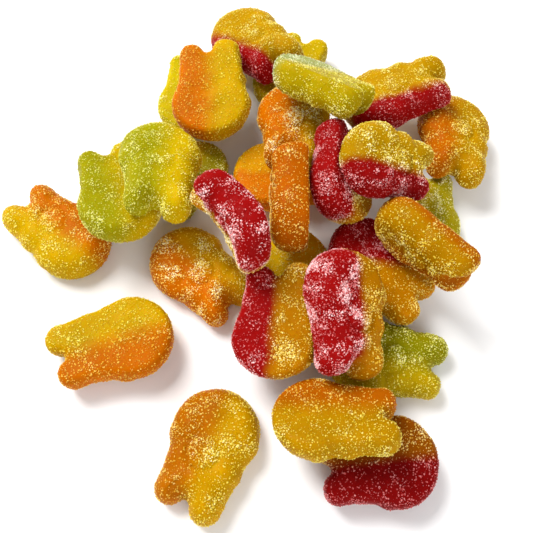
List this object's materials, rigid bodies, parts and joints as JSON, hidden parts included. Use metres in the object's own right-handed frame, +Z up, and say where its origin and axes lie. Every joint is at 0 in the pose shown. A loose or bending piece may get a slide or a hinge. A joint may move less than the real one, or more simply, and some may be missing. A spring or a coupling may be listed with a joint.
{
  "type": "gummy bears",
  "caption": "Loose heap of sugared two-colour gummy bears, flat-backed, round at one end and two-lobed at the other.",
  "frame": {"origin": "middle of the heap's footprint, on the table that it lies on", "axes": "+Z up from the table; -Y towards the viewer of the picture, +X to the viewer's right"},
  "size_m": [0.1462, 0.1578, 0.0402],
  "materials": {
    "gummy_orange": "clear orange and yellow jelly under a frost of sugar",
    "gummy_red": "clear red and yellow jelly under a frost of sugar",
    "gummy_green": "clear green and yellow jelly under a frost of sugar",
    "gummy_yellow": "clear yellow jelly under a frost of sugar"
  },
  "bodies": {
    "root": {"gummy_orange_01": "gummy_orange", "gummy_yellow_04": "gummy_yellow", "gummy_green_07": "gummy_green", "gummy_green_14": "gummy_green", "gummy_green_19": "gummy_green", "gummy_orange_25": "gummy_orange", "gummy_green_26": "gummy_green", "gummy_red_28": "gummy_red", "gummy_orange_29": "gummy_orange", "gummy_orange_30": "gummy_orange", "gummy_red_06": "gummy_red", "gummy_orange_12": "gummy_orange", "gummy_yellow_08": "gummy_yellow", "gummy_orange_11": "gummy_orange", "gummy_green_02": "gummy_green", "gummy_orange_18": "gummy_orange", "gummy_red_24": "gummy_red", "gummy_red_21": "gummy_red", "gummy_red_17": "gummy_red", "gummy_red_15": "gummy_red", "gummy_orange_27": "gummy_orange", "gummy_orange_05": "gummy_orange", "gummy_green_03": "gummy_green", "gummy_green_13": "gummy_green", "gummy_red_16": "gummy_red", "gummy_red_10": "gummy_red", "gummy_orange_09": "gummy_orange", "gummy_red_22": "gummy_red", "gummy_yellow_20": "gummy_yellow"}
  },
  "joints": []
}
